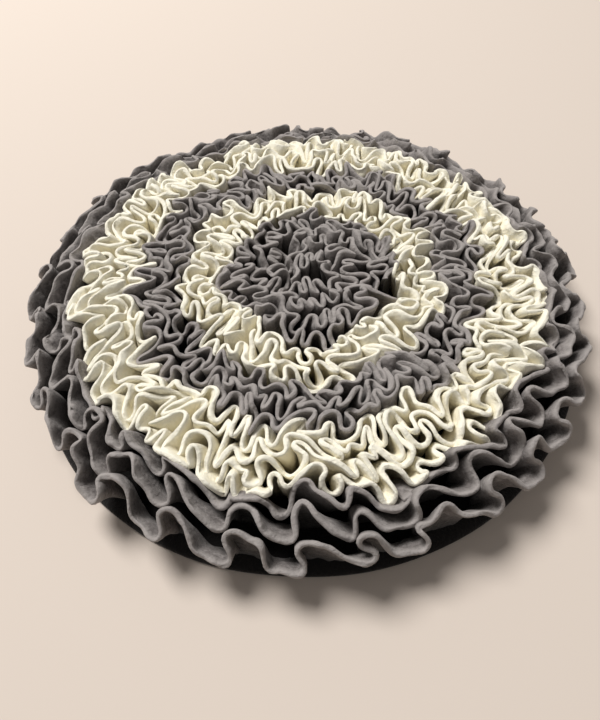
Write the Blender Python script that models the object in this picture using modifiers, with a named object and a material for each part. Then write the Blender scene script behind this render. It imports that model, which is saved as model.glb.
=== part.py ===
"""A round snuffle mat: long fleece strips, gathered along one edge and sewn in rings on a flat round base cloth.

The gathered strips stand up as ruffles. From the rim to the centre they are dark grey, cream, dark grey, cream and
dark grey. Metres, +Z up; the origin is the centre of the base cloth's underside, which lies flat on the floor.
Each strip is one closed wavy band. Its seam edge has two points a fold and its free edge four or six. The
outermost ring has a third level halfway up, from which its folds flare out over the base cloth's rim.
"""

import math
import random
from collections import namedtuple

import bmesh
import bpy
from mathutils import Matrix, Vector

# Base cloth.
BASE_RADIUS = 0.2205
BASE_THICK = 0.003
BASE_SIDES = 72
BASE_EDGE_ROUND = 0.0008

# Fleece strips.
FLEECE_THICK = 0.0025
SEAM_GAP = 0.0004  # between the base cloth and a strip's seam edge
SEAM_REACH = 0.0014  # how far the tight gathers at the seam go to each side

# The free edges lie on a crown: level in the middle, lower towards the rim.
CROWN_HEIGHT = 0.050
CROWN_LEVEL_RADIUS = 0.165  # the crown is level inside this
CROWN_RIM_RADIUS = 0.228
CROWN_RIM_HEIGHT = 0.032
EDGE_UNEVEN = 0.0022  # how far a single fold's edge stands above or below the crown

# The rings aren't quite round, and the outer ones aren't quite centred on the inner ones. A row for each wave of
# the outline: waves in a turn, depth in metres at the rim and the angle of its first crest. One wave in a turn
# moves a ring over to that side.
Wobble = namedtuple("Wobble", "times depth crest_deg")
WOBBLES = (
    Wobble(times=1, depth=0.0095, crest_deg=190),
    Wobble(times=3, depth=0.0022, crest_deg=25),
    Wobble(times=4, depth=0.0012, crest_deg=140),
)

# One fold of a free edge: along is a share of the fold's length, out a share of its reach. The way back in is
# steeper than the way out, so all folds of a ring lean the same way.
Point = namedtuple("Point", "along out")
RIM_FOLD = (
    Point(along=0.00, out=-0.78),
    Point(along=0.14, out=-1.00),
    Point(along=0.33, out=-0.62),
    Point(along=0.52, out=0.62),
    Point(along=0.70, out=1.00),
    Point(along=0.89, out=0.80),
)
INNER_FOLD = (
    Point(along=0.00, out=-1.00),
    Point(along=0.25, out=-0.90),
    Point(along=0.60, out=0.90),
    Point(along=0.83, out=1.00),
)
SEAM_FOLD = (Point(along=0.15, out=-1.0), Point(along=0.65, out=1.0))

# A row for each sewn ring: radius of its seam, mean radius of its free edge, and reach of its folds.
Ring = namedtuple("Ring", "seam edge reach")
# The rings of a zone share their folds, so that they nest, and so do zones of one seed. drift turns each ring's
# folds on from the ring inside it, as a share of a fold, counted from first. uneven is how much the folds differ
# in length, and swell in reach.
Zone = namedtuple("Zone", "name colour folds fold first drift uneven swell seed rings")
GREY = (0.19, 0.175, 0.165)
CREAM = (0.80, 0.76, 0.65)
ZONES = (
    Zone(
        name="rim_grey", colour=GREY, folds=32, fold=RIM_FOLD, first=1, drift=0.11, uneven=0.12, swell=0.14, seed=4,
        rings=(Ring(0.1855, 0.1916, 0.0055), Ring(0.1975, 0.2025, 0.0076), Ring(0.2140, 0.2165, 0.0106)),
    ),
    Zone(
        name="outer_cream", colour=CREAM, folds=46, fold=INNER_FOLD, first=4, drift=0.11, uneven=0.12, swell=0.10,
        seed=11,
        rings=(
            Ring(0.1410, 0.1420, 0.0058), Ring(0.1515, 0.1530, 0.0064),
            Ring(0.1622, 0.1643, 0.0065), Ring(0.1730, 0.1751, 0.0058),
        ),
    ),
    Zone(
        name="middle_grey", colour=GREY, folds=46, fold=INNER_FOLD, first=1, drift=0.11, uneven=0.12, swell=0.10,
        seed=11,
        rings=(Ring(0.1100, 0.1103, 0.0047), Ring(0.1203, 0.1207, 0.0051), Ring(0.1308, 0.1314, 0.0053)),
    ),
    Zone(
        name="inner_cream", colour=CREAM, folds=30, fold=INNER_FOLD, first=1, drift=0.11, uneven=0.12, swell=0.09,
        seed=15,
        rings=(Ring(0.0750, 0.0754, 0.0050), Ring(0.0856, 0.0858, 0.0056), Ring(0.0963, 0.0963, 0.0050)),
    ),
)
# The outermost ring flares from a level this high, this share of the way out from the seam to the free edge.
FLARE_SHARE = 0.70
FLARE_HEIGHT = 0.0190
FLARE_LIFT = 0.0015  # this much more or less at a fold's outer and inner end

# The centre is one strip sewn in a spiral.
SPIRAL_OUTER_RADIUS = 0.0632
SPIRAL_TURNS = 4.55
SPIRAL_PITCH = 0.0119
SPIRAL_STEP_IN = 0.45  # each turn is level up to this share of it, then steps in by the pitch
SPIRAL_FOLD_LENGTH = 0.0125
SPIRAL_REACH = 0.0037
SPIRAL_SEED = 21


def wobble(radius, angle):
    """The radius once the ring's outline is made as uneven as the sewing."""
    share = radius / CROWN_RIM_RADIUS
    return radius + share * sum(
        w.depth * math.cos(w.times * (angle - math.radians(w.crest_deg))) for w in WOBBLES
    )


def crown(radius):
    """How high a free edge stands at this radius."""
    fall = max(0.0, (radius - CROWN_LEVEL_RADIUS) / (CROWN_RIM_RADIUS - CROWN_LEVEL_RADIUS))
    return CROWN_HEIGHT - (CROWN_HEIGHT - CROWN_RIM_HEIGHT) * fall**2


def seam_height(lean_out, lean_up):
    """How high a strip's seam is, so that the lower corner of a cloth that leans this way keeps the seam's gap."""
    return BASE_THICK + SEAM_GAP + FLEECE_THICK / 2 * lean_out / math.hypot(lean_out, lean_up)


def zipped(lower, upper, lower_at, upper_at, closed):
    """Triangles between two rows of points. lower and upper are vertex numbers, and *_at how far along each is."""
    if closed:
        lower, upper = lower + lower[:1], upper + upper[:1]
        lower_at, upper_at = lower_at + [lower_at[0] + 1], upper_at + [upper_at[0] + 1]
    faces, i, j = [], 0, 0
    # Each triangle steps on along whichever row is behind.
    while i < len(lower) - 1 or j < len(upper) - 1:
        step_lower = j == len(upper) - 1 or (i < len(lower) - 1 and lower_at[i + 1] < upper_at[j + 1])
        if step_lower:
            faces.append((lower[i], lower[i + 1], upper[j]))
            i += 1
        else:
            faces.append((lower[i], upper[j + 1], upper[j]))
            j += 1
    return faces


def fleece(colour_name, colour):
    """The colour's fleece material."""
    found = bpy.data.materials.get(colour_name)
    if found:
        return found
    made = bpy.data.materials.new(colour_name)
    made.use_nodes = True
    shader = made.node_tree.nodes["Principled BSDF"]
    shader.inputs["Base Color"].default_value = (*colour, 1)
    shader.inputs["Roughness"].default_value = 0.95
    shader.inputs["Metallic"].default_value = 0.0
    return made


# One level of a strip: points down the middle of the cloth, and how far along the strip each is.
Level = namedtuple("Level", "points at")


def add_strip(name, collection, material, levels, closed):
    """One gathered strip: an open surface lofted from the level at its seam to its free edge, then thickened."""
    verts, rows = [], []
    for level in levels:
        rows.append(list(range(len(verts), len(verts) + len(level.points))))
        verts += level.points
    faces = []
    for (lower, upper), (low, high) in zip(zip(rows, rows[1:]), zip(levels, levels[1:])):
        faces += zipped(lower, upper, low.at, high.at, closed)
    mesh = bpy.data.meshes.new(name)
    mesh.from_pydata(verts, [], faces)
    mesh.materials.append(material)
    strip = bpy.data.objects.new(name, mesh)
    collection.objects.link(strip)
    cloth = strip.modifiers.new("fleece", "SOLIDIFY")
    cloth.thickness = FLEECE_THICK
    cloth.offset = 0
    cloth.use_even_offset = True
    cloth.use_quality_normals = True
    return strip


class Folds:
    """The folds of a zone: where each starts, how far it reaches and how high its free edge stands."""

    def __init__(self, zone):
        rng = random.Random(zone.seed)
        self.count = zone.folds
        self.starts = [i + zone.uneven * rng.uniform(-1, 1) for i in range(zone.folds)]
        self.starts.append(self.starts[0] + zone.folds)
        # A long fold reaches further than a short one.
        self.reaches = [
            (1 + zone.swell * rng.uniform(-1, 1)) * (self.starts[i + 1] - self.starts[i]) ** 0.5
            for i in range(zone.folds)
        ]
        self.lifts = [EDGE_UNEVEN * rng.uniform(-1, 1) for _ in range(zone.folds)]

    def share(self, at):
        """Share of a turn at a place counted in folds, such as 3.25."""
        whole = math.floor(at)
        i = whole % self.count
        start = self.starts[i] + (whole - i)
        return (start + (at - whole) * (self.starts[i + 1] - self.starts[i])) / self.count


def ring_level(folds, shape, drift, radius_at, height_at):
    """A closed level with shape's points in each fold. radius_at and height_at take a fold's number and its out."""
    points, at = [], []
    for i in range(folds.count):
        for point in shape:
            turn = folds.share(i + point.along + drift)
            angle = 2 * math.pi * turn
            flat = radius_at(i, point.out)
            r = wobble(flat, angle)
            points.append(Vector((r * math.cos(angle), r * math.sin(angle), height_at(i, point.out, flat))))
            at.append(turn)
    return Level(points, at)


def add_zone(zone, collection):
    """All the rings of one colour zone."""
    folds = Folds(zone)
    material = fleece("grey_fleece" if zone.colour == GREY else "cream_fleece", zone.colour)
    for number, ring in enumerate(zone.rings, start=1):
        drift = (zone.first + number) * zone.drift

        def edge_radius(i, out, ring=ring):
            return ring.edge + ring.reach * folds.reaches[i] * out

        def flare_radius(i, out, ring=ring):
            return ring.seam + (edge_radius(i, out, ring) - ring.seam) * FLARE_SHARE

        flared = ring is ZONES[0].rings[-1]
        lean_out = (ring.edge + ring.reach - ring.seam) * (FLARE_SHARE if flared else 1)
        seam_z = seam_height(lean_out, FLARE_HEIGHT if flared else crown(ring.edge))
        levels = [ring_level(
            folds, SEAM_FOLD, drift, lambda i, out: ring.seam + SEAM_REACH * out, lambda i, out, r: seam_z
        )]
        if flared:
            levels.append(ring_level(
                folds, zone.fold, drift, flare_radius, lambda i, out, r: FLARE_HEIGHT + FLARE_LIFT * out
            ))
        levels.append(ring_level(folds, zone.fold, drift, edge_radius, lambda i, out, r: crown(r) + folds.lifts[i]))
        add_strip(f"ruffle_{zone.name}_{number}", collection, material, levels, closed=True)


def spiral_radius(turn):
    """Radius of the centre's seam after this many turns inwards."""
    whole = math.floor(turn)
    step = max(0.0, (turn - whole - SPIRAL_STEP_IN) / (1 - SPIRAL_STEP_IN))
    return SPIRAL_OUTER_RADIUS - SPIRAL_PITCH * (whole + step**2 * (3 - 2 * step))


def add_spiral(collection):
    """The centre's strip: folds of about one length along a spiral that runs in from the ring of cream."""
    rng = random.Random(SPIRAL_SEED)
    seam, edge, seam_at, edge_at = [], [], [], []
    turn, fold = 0.0, 0
    while turn < SPIRAL_TURNS:
        length = SPIRAL_FOLD_LENGTH * (1 + 0.15 * rng.uniform(-1, 1))
        turn_by = length / (2 * math.pi * spiral_radius(turn))
        z = CROWN_HEIGHT + EDGE_UNEVEN * rng.uniform(-1, 1)
        for points, at, shape, reach, height in (
            (seam, seam_at, SEAM_FOLD, SEAM_REACH, seam_height(SPIRAL_REACH, CROWN_HEIGHT)),
            (edge, edge_at, INNER_FOLD, SPIRAL_REACH, z),
        ):
            for point in shape:
                t = turn + point.along * turn_by
                r = wobble(spiral_radius(t) + reach * point.out, 2 * math.pi * t)
                points.append(Vector((r * math.cos(2 * math.pi * t), r * math.sin(2 * math.pi * t), height)))
                at.append(fold + point.along)
        turn += turn_by
        fold += 1
    material = fleece("grey_fleece", GREY)
    add_strip(
        "ruffle_centre_grey", collection, material, [Level(seam, seam_at), Level(edge, edge_at)], closed=False
    )


def add_base(collection):
    """The round cloth that the strips are sewn to."""
    bpy.ops.mesh.primitive_cylinder_add(vertices=BASE_SIDES, radius=BASE_RADIUS, depth=BASE_THICK)
    base = bpy.context.active_object
    base.name = "base_cloth"
    # It lies under the middle of the outermost ring.
    over = next(w for w in WOBBLES if w.times == 1)
    aside = over.depth * BASE_RADIUS / CROWN_RIM_RADIUS
    angle = math.radians(over.crest_deg)
    base.data.transform(Matrix.Translation((aside * math.cos(angle), aside * math.sin(angle), BASE_THICK / 2)))
    base.data.materials.append(fleece("grey_fleece", GREY))
    bevel = base.modifiers.new("rounded_rim", "BEVEL")
    bevel.width = BASE_EDGE_ROUND
    bevel.segments = 1
    bevel.limit_method = "ANGLE"
    for held in list(base.users_collection):
        held.objects.unlink(base)
    collection.objects.link(base)


def centre_on_origin(collection):
    """Moves every piece so that the whole mat's outline is centred on the origin."""
    corners = [vert.co for piece in collection.objects for vert in piece.data.vertices]
    middle = Vector([(min(c[axis] for c in corners) + max(c[axis] for c in corners)) / 2 for axis in (0, 1)] + [0])
    for piece in collection.objects:
        piece.data.transform(Matrix.Translation(-middle))


def main():
    for old in list(bpy.data.objects):
        bpy.data.objects.remove(old)
    collection = bpy.data.collections.new("snuffle_mat")
    bpy.context.scene.collection.children.link(collection)
    add_base(collection)
    for zone in ZONES:
        add_zone(zone, collection)
    add_spiral(collection)
    centre_on_origin(collection)


main()
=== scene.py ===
import math
import random
from collections import namedtuple

import bpy
import numpy as np
from mathutils import Matrix, Vector


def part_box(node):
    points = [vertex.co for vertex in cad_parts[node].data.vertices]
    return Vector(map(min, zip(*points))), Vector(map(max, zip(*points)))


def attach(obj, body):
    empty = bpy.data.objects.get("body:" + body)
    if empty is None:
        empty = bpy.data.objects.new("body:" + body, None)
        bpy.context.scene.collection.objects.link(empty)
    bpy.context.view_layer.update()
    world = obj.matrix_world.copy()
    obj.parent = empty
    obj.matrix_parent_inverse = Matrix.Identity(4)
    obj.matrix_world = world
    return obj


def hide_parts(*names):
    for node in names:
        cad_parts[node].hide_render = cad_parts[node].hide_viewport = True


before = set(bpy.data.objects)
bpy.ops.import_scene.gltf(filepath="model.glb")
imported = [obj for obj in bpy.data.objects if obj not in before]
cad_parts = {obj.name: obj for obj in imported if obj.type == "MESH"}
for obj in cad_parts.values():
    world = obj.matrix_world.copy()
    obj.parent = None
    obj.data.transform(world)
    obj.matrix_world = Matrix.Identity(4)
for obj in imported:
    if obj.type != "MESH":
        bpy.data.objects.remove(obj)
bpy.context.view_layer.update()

# ------------------------------------------------------------------------------------------------
# Sizes, in metres. The rings, the centre's spiral and the folds of the inner zones start as those
# of the solids. The cut edges of the rim start from RIM_CURL instead.
# ------------------------------------------------------------------------------------------------

CLOTH_WIDTH = 0.050                          # from the sewn edge to the cut edge, laid flat
RIM_CLOTH_WIDTHS = (0.050, 0.047, 0.043)     # the same for the rim's strips, from the inside out
Fleece = namedtuple("Fleece", "thick fluff")             # fluff: how much thicker the cut edge is
FLEECE = {"grey": Fleece(0.0027, 0.10), "cream": Fleece(0.0029, 0.08)}
SEAM_Z = 0.0034
BASE_RADIUS, BASE_TOP = 0.2205, 0.0030
CROWN_HEIGHT, CROWN_RIM_HEIGHT = 0.050, 0.032
CROWN_LEVEL_RADIUS, CROWN_RIM_RADIUS = 0.165, 0.228
EDGE_UNEVEN = 0.0022                         # up and down, of the cut edges
SEAM_REACH = 0.0014                          # in and out, of the sewn edges

# How the rings stray from round: the first wave sets the outer ones to one side.
Wobble = namedtuple("Wobble", "times depth crest_deg")
WOBBLES = (Wobble(1, 0.0095, 190), Wobble(3, 0.0022, 25), Wobble(4, 0.0012, 140))

# One fold as places along it, from 0 to 1, and how far in or out the cloth stands there.
SEAM_FOLD = ((0.15, -1.0), (0.65, 1.0))
INNER_FOLD = ((0.00, -1.00), (0.25, -0.90), (0.60, 0.90), (0.83, 1.00))
# the rim's folds lean back over the pockets behind them, and differ in size and place
RIM_CURL = ((0.02, -0.72), (0.12, -1.00), (0.28, -0.80), (0.46, -0.12), (0.64, 0.58),
            (0.80, 0.96), (0.94, 0.98), (1.03, 0.68), (1.04, 0.20), (0.99, -0.30))
RIM_SWELL, RIM_SLIP = 0.36, 0.16

# first, drift: how many folds a ring is turned on from its neighbour
# uneven, swell: how much the folds differ in length and in reach
# full: the cut edge let out, over the edge that it starts from
# apart: the least distance between the middles of two layers
# bend: the shortest wave that the cloth makes
Ring = namedtuple("Ring", "seam edge reach")
Zone = namedtuple("Zone", "name colour rim folds fold first drift uneven swell seed "
                          "full apart bend rings")
ZONES = (
    Zone("rim_grey", "grey", True, 32, RIM_CURL, 1, 0.11, 0.12, 0.14, 4, 1.34, 0.0054, 0.0180,
         (Ring(0.1855, 0.1916, 0.0055), Ring(0.1975, 0.2025, 0.0076),
          Ring(0.2140, 0.2165, 0.0106))),
    Zone("outer_cream", "cream", False, 46, INNER_FOLD, 4, 0.11, 0.12, 0.10, 11,
         1.66, 0.0046, 0.0200,
         (Ring(0.1410, 0.1420, 0.0058), Ring(0.1515, 0.1530, 0.0064),
          Ring(0.1622, 0.1643, 0.0065), Ring(0.1730, 0.1751, 0.0058))),
    Zone("middle_grey", "grey", False, 46, INNER_FOLD, 1, 0.11, 0.12, 0.10, 11,
         1.56, 0.0044, 0.0155,
         (Ring(0.1100, 0.1103, 0.0047), Ring(0.1203, 0.1207, 0.0051),
          Ring(0.1308, 0.1314, 0.0053))),
    Zone("inner_cream", "cream", False, 30, INNER_FOLD, 1, 0.11, 0.12, 0.09, 15,
         1.62, 0.0045, 0.0175,
         (Ring(0.0750, 0.0754, 0.0050), Ring(0.0856, 0.0858, 0.0056),
          Ring(0.0963, 0.0963, 0.0050))),
)
RING_SEED = 7                                # a ring's draws: the zone's seed + number * this

Spiral = namedtuple("Spiral", "outer turns pitch step_in fold uneven reach seed full apart bend")
SPIRAL = Spiral(outer=0.0632, turns=4.55, pitch=0.0119, step_in=0.45, fold=0.0125, uneven=0.15,
                reach=0.0037, seed=21, full=1.58, apart=0.0045, bend=0.0125)


def wobble(radius, angle):
    return radius + radius / CROWN_RIM_RADIUS * sum(
        w.depth * np.cos(w.times * (angle - math.radians(w.crest_deg))) for w in WOBBLES)


def crown(radius):
    """Height of the cut edges at a radius: level in the middle, falling to the rim."""
    fall = (radius - CROWN_LEVEL_RADIUS) / (CROWN_RIM_RADIUS - CROWN_LEVEL_RADIUS)
    return CROWN_HEIGHT - (CROWN_HEIGHT - CROWN_RIM_HEIGHT) * np.clip(fall, 0.0, 1.0)**2


def spiral_radius(turn):
    """The spiral steps in by one pitch in the last part of every turn."""
    whole = math.floor(turn)
    step = max(0.0, (turn - whole - SPIRAL.step_in) / (1 - SPIRAL.step_in))
    return SPIRAL.outer - SPIRAL.pitch * (whole + step**2 * (3 - 2 * step))


class Folds:
    """Where the folds of one zone start, and how far each reaches."""

    def __init__(self, zone):
        rng = random.Random(zone.seed)
        self.count = zone.folds
        self.starts = [i + zone.uneven * rng.uniform(-1, 1) for i in range(zone.folds)]
        self.starts.append(self.starts[0] + zone.folds)
        self.reaches = [(1 + zone.swell * rng.uniform(-1, 1))
                        * (self.starts[i + 1] - self.starts[i])**0.5 for i in range(zone.folds)]
        self.lifts = [EDGE_UNEVEN * rng.uniform(-1, 1) for _ in range(zone.folds)]

    def share(self, at):
        """How far round the ring a fold number lies, in turns."""
        whole = math.floor(at)
        i = whole % self.count
        start = self.starts[i] + (whole - i)
        return (start + (at - whole) * (self.starts[i + 1] - self.starts[i])) / self.count


class Strip:
    """One strip of fleece. seam and edge are its sewn and cut edges as polylines of x, y, z and
    fold number. rim counts the rim's strips from the inside, and is 0 for the others."""

    def __init__(self, name, colour, closed, style, folds, seam, edge, rim=0):
        self.name, self.colour, self.closed, self.folds, self.rim = name, colour, closed, folds, rim
        self.full, self.apart, self.bend = style.full, style.apart, style.bend
        self.seam, self.edge = np.array(seam), np.array(edge)


def ring_strip(zone, number, ring, folds):
    drift = (zone.first + number) * zone.drift
    rng = random.Random(zone.seed + RING_SEED * number)
    seam, edge = [], []
    for i in range(zone.folds):
        swell, slip = 1, 0
        if zone.rim:
            swell, slip = 1 + RIM_SWELL * rng.uniform(-1, 1), RIM_SLIP * rng.uniform(-1, 1)
        for along, out in SEAM_FOLD:
            angle = 2 * math.pi * folds.share(i + along + drift)
            r = wobble(ring.seam + SEAM_REACH * out, angle)
            seam.append((r * math.cos(angle), r * math.sin(angle), SEAM_Z, i + along))
        for along, out in zone.fold:
            angle = 2 * math.pi * folds.share(i + along + drift + slip)
            r = ring.edge + ring.reach * folds.reaches[i] * swell * out
            z = float(crown(r)) + folds.lifts[i]
            r = wobble(r, angle)
            edge.append((r * math.cos(angle), r * math.sin(angle), z, i + along))
    return Strip(f"ruffle_{zone.name}_{number}", zone.colour, True, zone, zone.folds, seam, edge,
                 number if zone.rim else 0)


def spiral_strip():
    rng = random.Random(SPIRAL.seed)
    seam, edge, turn, fold = [], [], 0.0, 0
    while turn < SPIRAL.turns:
        length = SPIRAL.fold * (1 + SPIRAL.uneven * rng.uniform(-1, 1))
        turn_by = length / (2 * math.pi * spiral_radius(turn))
        z = CROWN_HEIGHT + EDGE_UNEVEN * rng.uniform(-1, 1)
        for line, shape, reach, height in ((seam, SEAM_FOLD, SEAM_REACH, SEAM_Z),
                                           (edge, INNER_FOLD, SPIRAL.reach, z)):
            for along, out in shape:
                at = turn + along * turn_by
                angle = 2 * math.pi * at
                r = wobble(spiral_radius(at) + reach * out, angle)
                line.append((r * math.cos(angle), r * math.sin(angle), height, fold + along))
        turn += turn_by
        fold += 1
    return Strip("ruffle_centre_grey", "grey", False, SPIRAL, fold, seam, edge)


def strips():
    out = []
    for zone in ZONES:
        folds = Folds(zone)
        out += [ring_strip(zone, number, ring, folds)
                for number, ring in enumerate(zone.rings, start=1)]
    return out + [spiral_strip()]


def plan_length(v):
    return np.hypot(v[..., 0], v[..., 1])


def distances(line):
    """How far along a polyline each of its points is, in plan."""
    return np.r_[0, np.cumsum(plan_length(np.diff(line, axis=0)))]


def evenly(line, step, closed):
    """Points evenly along a polyline of x, y, z and fold number, about this far apart."""
    if closed:
        line = np.vstack([line, line[:1]])
        line[-1, 3] = line[0, 3] + round(line[-2, 3] - line[0, 3] + 0.5)
    along = distances(line)
    at = np.linspace(0, along[-1], int(along[-1] / step), endpoint=not closed)
    return np.stack([np.interp(at, along, column) for column in line.T], axis=1)


def at_fold(line, where, closed, folds):
    """Points of a polyline, in plan, at the given fold numbers."""
    if closed:
        n = len(line)
        line = np.vstack([line, line, line])
        line[:n, 3] -= folds
        line[2 * n:, 3] += folds
    return np.stack([np.interp(where, line[:, 3], line[:, k]) for k in range(2)], axis=1)


LOW_PASS_ORDER = 8


def low_pass(chain, closed, shortest, step):
    """chain (..., n, 2) without the waves that are shorter than the given length."""
    n = chain.shape[-2]
    if not closed:
        # mirrored at both ends, about the end points
        first, last = chain[..., :1, :], chain[..., -1:, :]
        chain = np.concatenate(
            [2 * first - chain[..., :0:-1, :], chain, 2 * last - chain[..., -2::-1, :]], axis=-2)
        trend = np.linspace(0, 1, chain.shape[-2])[:, None]
        line = chain[..., :1, :] * (1 - trend) + chain[..., -1:, :] * trend
        out = low_pass(chain - line, True, shortest, step) + line
        return out[..., n - 1:2 * n - 1, :]
    spectrum = np.fft.rfft(chain, axis=-2)
    waves = np.arange(spectrum.shape[-2]) / (n * step)
    keep = 1 / (1 + (waves * shortest)**LOW_PASS_ORDER)
    return np.fft.irfft(spectrum * keep[:, None], n=n, axis=-2)


# ------------------------------------------------------------------------------------------------
# Letting the cloth out, in plan
# ------------------------------------------------------------------------------------------------

STEP = 0.0030                                # between the points of a cut edge that is let out
LEVELS = (0.38, 0.69, 1.0)                   # heights, as shares of the way from seam to cut edge
LET_OUT = (0.40, 0.76, 1.0)                  # how far the cloth is let out at each
START_CURVE = 1.4                            # how the start goes over from the seam to the edge

# reach, slide: how far a cut edge gets from its place, across and along its ring
# memory: how hard the start holds; tied: how hard the heights of one strip hold each other
Hold = namedtuple("Hold", "reach slide memory tied")
RIM_HOLD = Hold(0.0145, 0.0085, 0.022, 0.100)            # its wide folds keep their places
INNER_HOLD = Hold(0.0120, 0.0060, 0.0, 0.035)            # the narrow ones find theirs

STEPS, QUICK_STEPS = 330, 90
LET_OUT_STEPS, DRIFT_STEPS = 0.62, 0.6       # until when the cloth is let out, and drifts
DRIFT, DRIFT_ROUNDS, DRIFT_SEED = 0.00010, 30, 3
NEIGHBOUR_STEPS, NEIGHBOUR_REACH = 6, 1.25   # how often they are looked up, and how far off
PLAN_SPAN = 0.6                              # the square that is searched for neighbours
SAME_FOLD, NEXT_FOLD, TURN_SHARE = 3, 7, 0.60            # points of one strip close to each other
STRETCH, BEND, STRAIGHTEN, PUSH = 0.45, 0.30, 0.03, 0.9
MIDDLE_TIE, TOP_TIE, FOOT_TIE = (0.40, 0.60), 0.35, 0.8
REACH_PULL, SLIDE_PULL, LIMIT_PULL = 0.35, 0.45, 0.5
OUTER_LIMIT = 0.2290
MOST_A_STEP = 0.0012
SMOOTH_STEPS, SMOOTH_LAST = 3, 3             # every so many steps, and at each of the last ones
TINY, TINY_RADIUS, TINY_NORMAL = 1e-6, 1e-4, 1e-9


class Growth:
    """The strips as chains of points in plan, at several heights. The cloth is let out to its full
    length little by little while the layers push each other away, so that the folds fill the room
    they have."""

    def __init__(self, pieces):
        self.pieces = pieces
        self.slices = []
        points, nxt, prv, owner, home = [], [], [], [], []
        start = 0
        for number, piece in enumerate(pieces):
            edge = evenly(piece.edge, STEP / piece.full, piece.closed)
            n = len(edge)
            piece.seam_xy = at_fold(piece.seam, edge[:, 3], piece.closed, piece.folds)
            piece.edge_z = edge[:, 2]
            points.append(np.stack([piece.seam_xy * (1 - t**START_CURVE)
                                    + edge[:, :2] * t**START_CURVE for t in LEVELS]))
            index = np.arange(n) + start
            after, before = np.roll(index, -1), np.roll(index, 1)
            if not piece.closed:
                after[-1], before[0] = index[-1], index[0]
            nxt.append(after)
            prv.append(before)
            owner.append(np.full(n, number))
            home.append(piece.seam_xy)
            self.slices.append(slice(start, start + n))
            start += n
        self.P = np.concatenate(points, axis=1)
        self.start = self.P.copy()
        self.nxt, self.prv = np.concatenate(nxt), np.concatenate(prv)
        self.owner, self.home = np.concatenate(owner), np.concatenate(home)
        self.apart = np.array([piece.apart for piece in pieces])[self.owner]
        self.size = np.array([part.stop - part.start for part in self.slices])[self.owner]
        holds = np.array([RIM_HOLD if piece.rim else INNER_HOLD for piece in pieces])[self.owner]
        self.reach, self.slide, self.memory, self.tied = holds.T
        # each strip's own middle, since the outer rings are sewn a little to one side
        self.middle = np.zeros((start, 2))
        for part, piece in zip(self.slices, pieces):
            if piece.closed:
                self.middle[part] = (self.home[part].max(0) + self.home[part].min(0)) / 2
        self.rest = plan_length(self.P[:, self.nxt] - self.P)
        self.goal = np.zeros_like(self.rest)
        self.lean = np.zeros_like(self.rest)
        for level, share in enumerate(LET_OUT):
            for part in self.slices:
                now = self.rest[level, part].mean()
                self.goal[level, part] = now + (max(STEP, now) - now) * share
                self.rest[level, part] = now
                self.lean[level, part] = (
                    plan_length(self.P[level, part] - self.middle[part])
                    - plan_length(self.home[part] - self.middle[part])).mean()

    def pairs(self, reach):
        """Points on one level that are nearer than reach, and not close along their strip, with
        the distance that they keep."""
        L, N = self.P.shape[:2]
        flat = self.P.reshape(-1, 2)
        cell = np.floor((flat + PLAN_SPAN / 2) / reach).astype(np.int64)
        wide = int(PLAN_SPAN / reach) + 3
        key = (np.repeat(np.arange(L), N) * wide + cell[:, 0]) * wide + cell[:, 1]
        order = np.argsort(key, kind="stable")
        in_order = key[order]
        found = []
        for dx, dy in ((0, 0), (1, 0), (-1, 1), (0, 1), (1, 1)):
            other = key + dx * wide + dy
            low = np.searchsorted(in_order, other, "left")
            count = np.searchsorted(in_order, other, "right") - low
            a = np.repeat(np.arange(len(flat)), count)
            first = low - np.r_[0, np.cumsum(count)[:-1]]
            b = order[np.repeat(first, count) + np.arange(count.sum())]
            if (dx, dy) == (0, 0):
                once = a < b
                a, b = a[once], b[once]
            d = flat[a] - flat[b]
            near = (d * d).sum(1) < reach * reach
            found.append((a[near], b[near]))
        a, b = (np.concatenate(found_in) for found_in in zip(*found))
        ia, ib = a % N, b % N
        gap = np.abs(ia - ib)
        elsewhere = 10**6
        gap = np.where(self.owner[ia] == self.owner[ib],
                       np.minimum(gap, self.size[ia] - gap), elsewhere)
        keep = gap > SAME_FOLD
        a, b, gap = a[keep], b[keep], gap[keep]
        apart = (self.apart[a % N] + self.apart[b % N]) / 2
        share = TURN_SHARE + (1 - TURN_SHARE) * (gap - SAME_FOLD) / (NEXT_FOLD - SAME_FOLD)
        return a, b, np.where(gap < NEXT_FOLD, apart * share, apart)

    def drift(self):
        """The uneven hand of the maker: a slow drift along each strip."""
        out = np.random.default_rng(DRIFT_SEED).normal(0, 1, self.P.shape)
        for _ in range(DRIFT_ROUNDS):
            out = (out + out[:, self.nxt] + out[:, self.prv]) / 3
        return out * (DRIFT / out.std())

    def stretch_and_bend(self):
        P = self.P
        points = np.arange(P.shape[1])
        last = self.nxt == points
        ends = last | (self.prv == points)
        nxt, prv = P[:, self.nxt], P[:, self.prv]
        d = nxt - P
        length = np.maximum(plan_length(d), TINY)
        pull = (length - self.rest) / length * STRETCH
        pull[:, last] = 0
        step = d * pull[..., None]
        move = step.copy()
        np.add.at(move, (slice(None), self.nxt), -step)
        bend = (nxt + prv) / 2 - P
        bend[:, ends] = 0
        return move + (BEND * (bend - 0.5 * (bend[:, self.nxt] + bend[:, self.prv]))
                       + STRAIGHTEN * bend)

    def tie(self):
        """The heights of one strip follow each other."""
        P = self.P
        above, below = MIDDLE_TIE
        out = np.stack([((self.home + P[1]) / 2 - P[0]) * FOOT_TIE,
                        P[2] * above + P[0] * below - P[1],
                        (P[1] - P[2]) * TOP_TIE])
        return self.tied[:, None] * out

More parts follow.
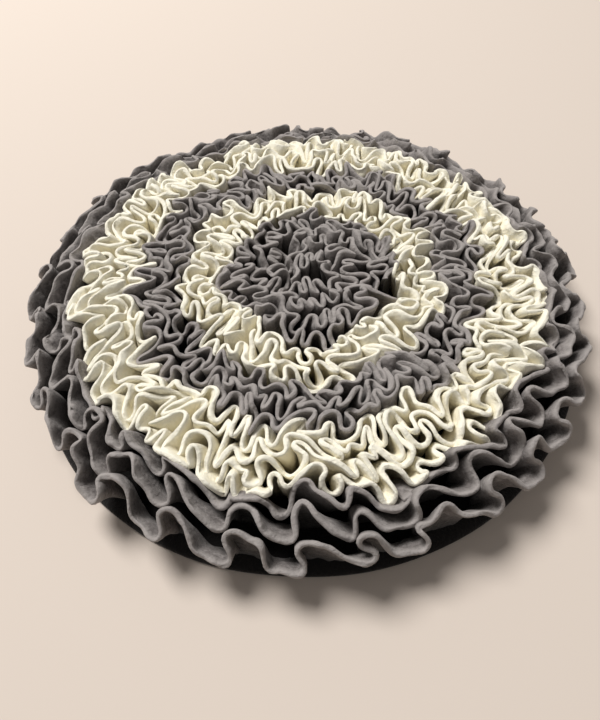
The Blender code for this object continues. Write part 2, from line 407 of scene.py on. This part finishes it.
    def push(self, a, b, need):
        """Layers that come too close push each other away."""
        flat = self.P.reshape(-1, 2)
        size = len(flat)
        v = flat[a] - flat[b]
        length = np.maximum(plan_length(v), TINY)
        push = np.clip(need - length, 0, None) / length * 0.5
        count = np.bincount(a, push > 0, size) + np.bincount(b, push > 0, size)
        away = np.stack([np.bincount(a, v[:, k] * push, size) - np.bincount(b, v[:, k] * push, size)
                         for k in (0, 1)], 1) / np.sqrt(np.maximum(count, 1))[:, None]
        return away.reshape(self.P.shape) * PUSH

    def hold(self, move):
        """No point gets further from the seam than the cloth lets it."""
        P = self.P
        seam_r = plan_length(self.home - self.middle)
        arm = P - self.middle
        r = plan_length(arm)
        safe = np.maximum(r, TINY_RADIUS)[..., None]
        off = P - self.home
        for level, t in enumerate(LEVELS):
            out = r[level] - seam_r - self.lean[level]
            over = np.clip(np.abs(out) - self.reach * t, 0, None) * np.sign(out)
            move[level] -= arm[level] / safe[level] * over[:, None] * REACH_PULL
            across = np.stack([-arm[level, :, 1], arm[level, :, 0]], 1) / safe[level]
            slid = (off[level] * across).sum(1)
            over = np.clip(np.abs(slid) - self.slide * t, 0, None) * np.sign(slid)
            move[level] -= across * over[:, None] * SLIDE_PULL
        move -= arm / safe * np.clip(r - OUTER_LIMIT, 0, None)[..., None] * LIMIT_PULL
        move += (self.start - P) * self.memory[:, None]

    def grow(self, steps):
        start_rest = self.rest.copy()
        drift = self.drift()
        for it in range(steps):
            share = min(1.0, it / (steps * LET_OUT_STEPS))
            self.rest = start_rest + (self.goal - start_rest) * share
            if it % NEIGHBOUR_STEPS == 0:
                a, b, need = self.pairs(self.apart.max() * NEIGHBOUR_REACH)
            move = self.stretch_and_bend()
            move += self.tie()
            move += self.push(a, b, need)
            self.hold(move)
            if it < steps * DRIFT_STEPS:
                move += drift
            most = np.minimum(1.0, MOST_A_STEP / np.maximum(plan_length(move), TINY))
            self.P = self.P + move * most[..., None]
            if it % SMOOTH_STEPS == SMOOTH_STEPS - 1 or it >= steps - SMOOTH_LAST:
                for part, piece in zip(self.slices, self.pieces):
                    self.P[:, part] = low_pass(self.P[:, part], piece.closed, piece.bend, STEP)


# ------------------------------------------------------------------------------------------------
# From the plan to cloth
# ------------------------------------------------------------------------------------------------

COLUMN = 0.0017                              # between the mesh's columns, along the cut edge
ROWS = (0.0, 0.20, 0.38, 0.54, 0.68, 0.79, 0.87, 0.94, 1.0)
SMOOTHING = 0.62                             # of the finished chains, as a share of bend

# How the tops lie over to one side, alike for neighbours: waves across the mat.
Lean = namedtuple("Lean", "wave towards_deg phase")
LEANS = (Lean(0.081, 20, 0.4), Lean(0.068, 95, 2.1), Lean(0.095, 150, 4.0))
LEAN_ASIDE = 0.25                            # off the square to the wave, in radians
SWIRL = 0.0048
SWIRL_END, SWIRL_FADE, SWIRL_LEAST = 0.215, 0.03, 0.15   # it fades towards the rim
LEAN_FROM, LEAN_OVER = 0.42, 0.58            # the heights over which a strip leans

# Radius, and how far outwards: the tops at the borders of the zones are drawn together, and the
# feet of the outer rings stand further in than their seams in the solids.
CLOSED_UP = ((0.040, 0.062, 0.069, 0.076, 0.100, 0.150, 0.175, 0.1835, 0.191, 0.203),
             (0.0, 0.0030, 0.0, -0.0034, 0.0, 0.0, 0.0036, 0.0, -0.0032, 0.0))
FEET_IN = ((0.135, 0.158, 0.180, 0.200, 0.2140), (0.0, 0.0035, 0.0085, 0.0100, 0.0060))

LIFT_SHARE = 0.8                             # of the solids' uneven height
ROLL, ROLL_WAVE = 0.0026, 0.034              # slow rise and fall of a cut edge
LEANING_LOW = 0.055                          # a strip that leans by d loses d**2 over twice this
HIGH, HIGH_CUT = 0.0520, 0.45                # what stands above this is lowered by a share
ROUND_UP = 0.06                              # the cloth rises a little faster at its foot
NOISE_WAVES = 1.6                            # slow_noise's shortest wave, so many to the given one
BULGE, BULGE_WAVE = 0.0007, 0.030            # half way up

FLUFF_FROM, FLUFF_OVER = 0.78, 0.18          # the heights over which the cloth gets thicker
CUT_DEG = (28, 62, 90, 118, 152)             # the rounding of the cut edge
CUT_SQUARE, CUT_HEIGHT = 0.85, 0.80
LUMP, CUT_LUMP, LUMP_ROUNDS = 0.00022, 0.00042, 2        # the uneven pile: cloth and cut edge


def resample(chain, at, closed):
    """Catmull-Rom through chain (..., n, k), at the given fractions of a step."""
    n = chain.shape[-2]
    i = np.floor(at).astype(int)
    f = (at - i)[:, None]

    def pick(j):
        return chain[..., j % n if closed else np.clip(j, 0, n - 1), :]

    p0, p1, p2, p3 = pick(i - 1), pick(i), pick(i + 1), pick(i + 2)
    return 0.5 * (2 * p1 + (p2 - p0) * f + (2 * p0 - 5 * p1 + 4 * p2 - p3) * f**2
                  + (3 * p1 - p0 - 3 * p2 + p3) * f**3)


def slow_noise(count, closed, length, wave, rng):
    """A smooth random line of unit size, with waves about this long."""
    s = np.linspace(0, 1, count, endpoint=not closed)
    out = np.zeros(count)
    most = max(3, int(length / wave * NOISE_WAVES))
    for k in range(1, most + 1):
        size = rng.normal() / (1 + (k * wave / length)**2)**0.5
        out += size * np.cos(2 * math.pi * (k * s + rng.random()))
    return out / out.std()


def outwards(xy, table):
    """A push from the middle, by as much as the table gives at each radius."""
    r = plan_length(xy)
    return xy / np.maximum(r, TINY_RADIUS)[..., None] * np.interp(r, *table)[..., None]


def tops_moved(xy):
    """How far the top of a strip moves at a place: to one side, and to its neighbour."""
    out = np.zeros_like(xy)
    for lean in LEANS:
        a = math.radians(lean.towards_deg)
        across = xy[..., 0] * math.cos(a) + xy[..., 1] * math.sin(a)
        s = np.sin(2 * math.pi * across / lean.wave + lean.phase)
        out += np.stack([-math.sin(a + LEAN_ASIDE) * s, math.cos(a + LEAN_ASIDE) * s], -1)
    fade = np.clip((SWIRL_END - plan_length(xy)) / SWIRL_FADE, SWIRL_LEAST, 1)
    return out * (SWIRL * fade)[..., None] + outwards(xy, CLOSED_UP)


def heights(strip, rows, middle, edge_z, length, rng):
    """z of the rows: the crown, uneven, and lower where a strip leans."""
    t = np.array(ROWS)[:, None]
    r = plan_length(rows[-1] - middle)
    lift = edge_z - crown(r.mean())
    lift = np.clip(lift - lift.mean(), -EDGE_UNEVEN, EDGE_UNEVEN)
    roll = ROLL * slow_noise(len(r), strip.closed, length, ROLL_WAVE, rng)
    top = crown(r) + LIFT_SHARE * lift + roll
    top -= plan_length(rows[-1] - rows[0])**2 / (2 * LEANING_LOW)
    top -= HIGH_CUT * np.clip(top - HIGH, 0, None)
    return SEAM_Z + (top - SEAM_Z) * (t * (1 + ROUND_UP) - ROUND_UP * t**2)


def mid_surface(strip, plan, middle, rng):
    """The middle of the cloth, (rows, columns, 3), and the length of its cut edge."""
    edge = plan[-1]
    if strip.closed:
        edge = np.vstack([edge, edge[:1]])
    along = distances(edge)
    length = along[-1]
    count = int(length / COLUMN)
    even = np.linspace(0, length, count, endpoint=not strip.closed)
    at = np.interp(even, along, np.arange(len(along)))
    edge_z = resample(strip.edge_z[:, None], at, strip.closed)[:, 0]
    chains = resample(np.concatenate([strip.seam_xy[None], plan]), at, strip.closed)
    chains = low_pass(chains, strip.closed, strip.bend * SMOOTHING, COLUMN)
    # a smooth line up the cloth through the seam and the levels
    knots = (0.0,) + LEVELS
    rows = np.stack([
        sum(chains[i] * math.prod((t - knots[j]) / (knots[i] - knots[j])
                                  for j in range(len(knots)) if j != i)
            for i in range(len(knots)))
        for t in ROWS])
    t = np.array(ROWS)[:, None]
    over = (np.clip((t - LEAN_FROM) / LEAN_OVER, 0, 1)**2)[..., None]
    rows += tops_moved(rows - middle) * over - outwards(chains[0] - middle, FEET_IN) * (1 - over)
    z = heights(strip, rows, middle, edge_z, length, rng)
    bulge = BULGE * slow_noise(count, strip.closed, length, BULGE_WAVE, rng)
    bulge = bulge[None] * np.sin(math.pi * t)
    mid = np.concatenate([rows, z[..., None]], axis=-1)
    return mid + normals(mid, strip.closed) * bulge[..., None], length


def normals(mid, closed):
    if closed:
        along = np.roll(mid, -1, axis=1) - np.roll(mid, 1, axis=1)
    else:
        along = np.gradient(mid, axis=1)
    n = np.cross(along, np.gradient(mid, axis=0))
    return n / np.maximum(np.linalg.norm(n, axis=-1, keepdims=True), TINY_NORMAL)


def skin(mid, closed, fleece, rng):
    """Points round the middle surface: up one side, over the soft cut edge and down the other."""
    rows, count = mid.shape[:2]
    n = normals(mid, closed)
    fluff = np.clip((np.array(ROWS) - FLUFF_FROM) / FLUFF_OVER, 0, 1)
    half = fleece.thick / 2 * (1 + fleece.fluff * fluff * fluff * (3 - 2 * fluff))
    up = mid[-1] - mid[-2]
    up /= np.linalg.norm(up, axis=-1, keepdims=True)
    loft = [mid[j] + n[j] * half[j] for j in range(rows)]
    for deg in CUT_DEG:
        a = math.radians(deg)
        c = math.copysign(abs(math.cos(a))**CUT_SQUARE, math.cos(a))
        s = math.sin(a)**CUT_SQUARE
        loft.append(mid[-1] + n[-1] * half[-1] * c + up * half[-1] * CUT_HEIGHT * s)
    loft += [mid[j] - n[j] * half[j] for j in range(rows - 1, -1, -1)]
    loft = np.stack(loft)
    # the pile stands unevenly, most of all along the cut edge
    lumps = rng.normal(0, 1, loft.shape[:2])
    for _ in range(LUMP_ROUNDS):
        lumps = (lumps + np.roll(lumps, 1, 1) + np.roll(lumps, -1, 1)) / 3
        lumps[1:-1] = (lumps[1:-1] * 2 + lumps[:-2] + lumps[2:]) / 4
    lumps /= lumps.std()
    size = np.full(len(loft), LUMP)
    size[rows - 2:rows + len(CUT_DEG) + 2] = CUT_LUMP
    out = np.concatenate([n, np.repeat(up[None], len(CUT_DEG), 0), -n[::-1]])
    return loft + out * (lumps * size[:, None])[..., None]


def skin_faces(around, count, closed):
    """Quads between the columns of a skin, and the faces that close the ends of an open one."""
    columns = np.arange(count if closed else count - 1)
    after = (columns + 1) % count
    j = np.arange(around)[:, None]
    j2 = (j + 1) % around
    quads = np.stack([j * count + columns, j2 * count + columns,
                      j2 * count + after, j * count + after], -1).reshape(-1, 4)
    ends = []
    if not closed:
        for column, flip in ((0, False), (count - 1, True)):
            for q in range(around // 2):
                # the two middle corners meet at the last one, which is a triangle
                corners = dict.fromkeys((q, q + 1, around - 2 - q, around - 1 - q))
                face = [corner * count + column for corner in corners]
                ends.append(face[::-1] if flip else face)
    return quads, ends


def linked(name, mesh, from_cut):
    """An object that knows at each point how far down from the cut edge it is."""
    mesh.shade_smooth()
    attribute = mesh.attributes.new("from_cut", "FLOAT", "POINT")
    attribute.data.foreach_set("value", from_cut.astype(np.float32))
    obj = bpy.data.objects.new(name, mesh)
    bpy.context.scene.collection.objects.link(obj)
    return obj


def cloth_mesh(name, mid, closed, fleece, width, rng):
    """A closed skin round the middle surface, with a soft cut edge."""
    loft = skin(mid, closed, fleece, rng)
    around, count = loft.shape[:2]
    quads, ends = skin_faces(around, count, closed)
    corners = np.concatenate([quads.ravel()] + [np.array(face) for face in ends])
    sizes = np.array([4] * len(quads) + [len(face) for face in ends])
    mesh = bpy.data.meshes.new(name)
    mesh.vertices.add(around * count)
    mesh.vertices.foreach_set("co", loft.astype(np.float32).ravel())
    mesh.loops.add(len(corners))
    mesh.loops.foreach_set("vertex_index", corners.astype(np.int32))
    mesh.polygons.add(len(sizes))
    mesh.polygons.foreach_set("loop_start", (np.cumsum(sizes) - sizes).astype(np.int32))
    mesh.polygons.foreach_set("loop_total", sizes.astype(np.int32))
    mesh.update(calc_edges=True)
    mesh.validate()
    # how far down from the cut edge each row lies: it sets the painted highlight at the cut edge
    # and the painted shade at the foot
    below = (1 - np.array(ROWS)) * width
    below = np.concatenate([below, np.zeros(len(CUT_DEG)), below[::-1]])
    return linked(name, mesh, np.repeat(below, count))


BASE_RINGS = (0.05, 0.10, 0.15, 0.190, 0.207, 0.2155)
BASE_AROUND = 240
BASE_WAVES = ((0.0030, 3, 0.6), (0.0022, 7, 2.0), (0.0012, 13, 0.0))     # size, times and phase
BASE_WAVES_FROM, BASE_WAVES_OVER = 0.15, 0.07
# the base cloth's soft edge: in from its radius, and height
BASE_EDGE = ((0.0012, BASE_TOP - 0.0002), (0.0003, BASE_TOP - 0.0009), (0.0, 0.0015),
             (0.0003, 0.0007), (0.0012, 0.0001))


def base_cloth():
    """The round cloth that everything is sewn to: a slightly uneven disc with a soft edge, coloured
    all over in the painted shade of the strips' feet.
    """
    around = BASE_AROUND
    angles = np.arange(around) * 2 * math.pi / around
    waves = sum(size * np.cos(times * angles + phase) for size, times, phase in BASE_WAVES)
    profile = [(r, BASE_TOP) for r in BASE_RINGS]
    profile += [(BASE_RADIUS - inwards, z) for inwards, z in BASE_EDGE]
    profile += [(r, 0.0) for r in BASE_RINGS[::-1]]
    verts = [(ASIDE.x, ASIDE.y, BASE_TOP)]
    for r, z in profile:
        for wave, a in zip(waves, angles):
            out = r * (1 + wave * max(0.0, (r - BASE_WAVES_FROM) / BASE_WAVES_OVER))
            verts.append((ASIDE.x + out * math.cos(a), ASIDE.y + out * math.sin(a), z))
    verts.append((ASIDE.x, ASIDE.y, 0.0))
    faces = [(0, 1 + i, 1 + (i + 1) % around) for i in range(around)]
    for j in range(len(profile) - 1):
        a, b = 1 + j * around, 1 + (j + 1) * around
        faces += [(a + i, b + i, b + (i + 1) % around, a + (i + 1) % around)
                  for i in range(around)]
    a = 1 + (len(profile) - 1) * around
    faces += [(a + (i + 1) % around, a + i, len(verts) - 1) for i in range(around)]
    mesh = bpy.data.meshes.new("base_cloth_fleece")
    mesh.from_pydata(verts, [], faces)
    # painted shade: the whole base cloth counts as lying at a strip's foot, so it takes the dark
    # painted shade colour
    return linked("base_cloth_fleece", mesh, np.full(len(verts), CLOTH_WIDTH))


# ------------------------------------------------------------------------------------------------
# Fleece
# ------------------------------------------------------------------------------------------------

HIGHLIGHT_BAND = (-0.0015, 0.0045)                 # down from the cut edge, where its painted highlight ends
PAINTED_SHADE_BAND = (0.008, 0.042)                   # painted shade: where the colour darkens towards the foot, and yellows in the cream, like pockets in shade
TUFT_BUMP, CURL_BUMP = (0.75, 0.0018), (0.85, 0.0009)    # strength and distance
FLEECE_ROUGH, FLEECE_SPECULAR, SHEEN_ROUGH = 0.95, 0.18, 0.55
FLOOR_ROUGH, FLOOR_SPECULAR = 0.9, 0.1


# the light colour is both the tufts' own lighter tone and a painted highlight along the cut edge
def fleece_material(name, painted_shade_foot, deep, main, tuft_light_and_edge_highlight, sheen, tint):
    mat = bpy.data.materials.new(name)
    mat.use_nodes = True
    nt = mat.node_tree
    nt.nodes.clear()
    out = nt.nodes.new("ShaderNodeOutputMaterial")
    bsdf = nt.nodes.new("ShaderNodeBsdfPrincipled")
    nt.links.new(bsdf.outputs[0], out.inputs[0])
    coord = nt.nodes.new("ShaderNodeTexCoord")

    def noise(scale, detail, rough, distortion=0.0):
        node = nt.nodes.new("ShaderNodeTexNoise")
        node.inputs["Scale"].default_value = scale
        node.inputs["Detail"].default_value = detail
        node.inputs["Roughness"].default_value = rough
        node.inputs["Distortion"].default_value = distortion
        nt.links.new(coord.outputs["Object"], node.inputs["Vector"])
        return node.outputs["Fac"]

    def mix(a, b, weight, low, high):
        """From colour a to colour b as the weight goes from low to high."""
        spread = nt.nodes.new("ShaderNodeMapRange")
        spread.inputs["From Min"].default_value = low
        spread.inputs["From Max"].default_value = high
        nt.links.new(weight, spread.inputs["Value"])
        node = nt.nodes.new("ShaderNodeMix")
        node.data_type = "RGBA"
        nt.links.new(spread.outputs[0], node.inputs["Factor"])
        for value, socket in ((a, node.inputs["A"]), (b, node.inputs["B"])):
            if isinstance(value, tuple):
                socket.default_value = (*value, 1.0)
            else:
                nt.links.new(value, socket)
        return node.outputs["Result"]

    def bump(height, strength, distance):
        node = nt.nodes.new("ShaderNodeBump")
        node.inputs["Strength"].default_value = strength
        node.inputs["Distance"].default_value = distance
        nt.links.new(height, node.inputs["Height"])
        return node

    curls = noise(480, 4, 0.68, 0.5)         # the curls of the pile, about 2 mm
    tufts = noise(190, 4, 0.62)              # where the pile lies one way or the other
    wide = noise(16, 2, 0.5)                 # patches some centimetres across
    colour = mix(deep, main, curls, 0.30, 0.56)
    colour = mix(colour, tuft_light_and_edge_highlight, tufts, 0.50, 0.80)
    soft = mix(deep, colour, wide, 0.05, 0.42)
    from_cut = nt.nodes.new("ShaderNodeAttribute")
    from_cut.attribute_name = "from_cut"
    # painted highlight: the cut edge takes the light colour, as the tops face the lamp
    edge_highlighted = mix(tuft_light_and_edge_highlight, soft, from_cut.outputs["Fac"], *HIGHLIGHT_BAND)
    # painted shade: down in the pockets, where shade falls, the colour goes over to the foot colour
    shaded = mix(edge_highlighted, painted_shade_foot, from_cut.outputs["Fac"], *PAINTED_SHADE_BAND)
    nt.links.new(shaded, bsdf.inputs["Base Color"])
    bsdf.inputs["Roughness"].default_value = FLEECE_ROUGH
    bsdf.inputs["Specular IOR Level"].default_value = FLEECE_SPECULAR
    bsdf.inputs["Sheen Weight"].default_value = sheen
    bsdf.inputs["Sheen Roughness"].default_value = SHEEN_ROUGH
    bsdf.inputs["Sheen Tint"].default_value = (*tint, 1.0)
    lumps = bump(noise(210, 3, 0.6, 0.3), *TUFT_BUMP)
    fine = bump(curls, *CURL_BUMP)
    nt.links.new(lumps.outputs["Normal"], fine.inputs["Normal"])
    nt.links.new(fine.outputs["Normal"], bsdf.inputs["Normal"])
    return mat


def floor_material(name, colour):
    mat = bpy.data.materials.new(name)
    mat.use_nodes = True
    bsdf = mat.node_tree.nodes["Principled BSDF"]
    bsdf.inputs["Base Color"].default_value = (*colour, 1.0)
    bsdf.inputs["Roughness"].default_value = FLOOR_ROUGH
    bsdf.inputs["Specular IOR Level"].default_value = FLOOR_SPECULAR
    return mat


# the foot colours are painted shade for the pockets: near black in the grey, yellower in the cream
FLEECES = {
    "grey": fleece_material(
        "fleece_grey", painted_shade_foot=(0.014, 0.0125, 0.012), deep=(0.098, 0.087, 0.082),
        main=(0.192, 0.172, 0.165), tuft_light_and_edge_highlight=(0.405, 0.373, 0.357),
        sheen=0.30, tint=(0.80, 0.76, 0.73)),
    "cream": fleece_material(
        "fleece_cream", painted_shade_foot=(0.945, 0.855, 0.61), deep=(0.95, 0.875, 0.665),
        main=(0.96, 0.905, 0.735), tuft_light_and_edge_highlight=(0.97, 0.935, 0.81),
        sheen=0.15, tint=(1.0, 0.97, 0.90)),
}


# ------------------------------------------------------------------------------------------------
# The mat
# ------------------------------------------------------------------------------------------------

low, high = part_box("base_cloth")
# the base cloth lies to one side like the outermost ring, and the rings are made about CENTRE
aside = math.radians(WOBBLES[0].crest_deg)
ASIDE = Vector((math.cos(aside), math.sin(aside), 0.0))
ASIDE *= WOBBLES[0].depth * BASE_RADIUS / CROWN_RIM_RADIUS
CENTRE = Vector(((low[0] + high[0]) / 2, (low[1] + high[1]) / 2, 0.0)) - ASIDE


def settle(obj, node, colour, **sheet):
    obj.data.transform(Matrix.Translation(CENTRE))
    obj.data.materials.append(FLEECES[colour])
    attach(obj, "root")
    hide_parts(node)


settle(base_cloth(), "base_cloth", "grey", flat=(0.441, 0.441), held="laid", rests_on=["floor"],
       area=math.pi * BASE_RADIUS**2)

CLOTH_SEED = 7
pieces = strips()
growth = Growth(pieces)
growth.grow(STEPS)
rng = np.random.default_rng(CLOTH_SEED)
for piece, part in zip(pieces, growth.slices):
    mid, length = mid_surface(piece, growth.P[:, part], growth.middle[part.start], rng)
    width = RIM_CLOTH_WIDTHS[piece.rim - 1] if piece.rim else CLOTH_WIDTH
    obj = cloth_mesh(piece.name + "_fleece", mid, piece.closed, FLEECE[piece.colour], width, rng)
    settle(obj, piece.name, piece.colour, flat=(width, length), held="gathered",
           rests_on=["base_cloth_fleece"])

# ------------------------------------------------------------------------------------------------
# Floor, light and camera
# ------------------------------------------------------------------------------------------------

FLOOR_SIZE, FLOOR_Z, FLOOR_COLOUR = 8, -0.0003, (0.725, 0.635, 0.56)
KEY_PLACE, KEY_SIZE, KEY_POWER, KEY_COLOUR = (-1.55, 1.70, 3.50), 1.90, 196, (1.0, 0.985, 0.965)
WORLD_COLOUR, WORLD_STRENGTH = (1.0, 0.97, 0.94, 1.0), 0.21
ELEVATION, ROLL_ANGLE = 0.9692, -0.0378      # of the camera, in radians
CAMERA_PLACE = (-0.0202, -0.3121, 0.3672)    # from CENTRE
LENS, SENSOR, SHIFT_X, SHIFT_Y = 33.3, 36, 0.0112, 0.0168
CLIP_START, CLIP_END = 0.01, 20

bpy.ops.mesh.primitive_plane_add(size=FLOOR_SIZE, location=(0, 0, FLOOR_Z))
floor = bpy.context.object
floor.name = "floor"
floor.data.materials.append(floor_material("floor_pale", FLOOR_COLOUR))

bpy.context.scene.view_settings.view_transform = "Standard"
key_data = bpy.data.lights.new("key_light", "AREA")
key_data.shape, key_data.size, key_data.energy = "DISK", KEY_SIZE, KEY_POWER
key_data.color = KEY_COLOUR
key_light = bpy.data.objects.new("key_light", key_data)
key_light.location = KEY_PLACE
key_light.rotation_euler = (-Vector(KEY_PLACE)).to_track_quat("-Z", "Y").to_euler()
bpy.context.scene.collection.objects.link(key_light)

world = bpy.data.worlds.new("studio")
world.use_nodes = True
background = world.node_tree.nodes["Background"]
background.inputs["Color"].default_value = WORLD_COLOUR
background.inputs["Strength"].default_value = WORLD_STRENGTH
bpy.context.scene.world = world

forward = Vector((0, math.cos(ELEVATION), -math.sin(ELEVATION)))
upward = Vector((0, math.sin(ELEVATION), math.cos(ELEVATION)))
right = Vector((1, 0, 0))
side = right * math.cos(ROLL_ANGLE) + upward * math.sin(ROLL_ANGLE)
top = upward * math.cos(ROLL_ANGLE) - right * math.sin(ROLL_ANGLE)
camera_data = bpy.data.cameras.new("camera")
camera_data.lens, camera_data.sensor_width, camera_data.sensor_fit = LENS, SENSOR, "HORIZONTAL"
camera_data.clip_start, camera_data.clip_end = CLIP_START, CLIP_END
camera_data.shift_x, camera_data.shift_y = SHIFT_X, SHIFT_Y
camera = bpy.data.objects.new("camera", camera_data)
turn = Matrix((side, top, -forward)).transposed()
camera.matrix_world = Matrix.Translation(Vector(CAMERA_PLACE) + CENTRE) @ turn.to_4x4()
bpy.context.scene.collection.objects.link(camera)
bpy.context.scene.camera = camera
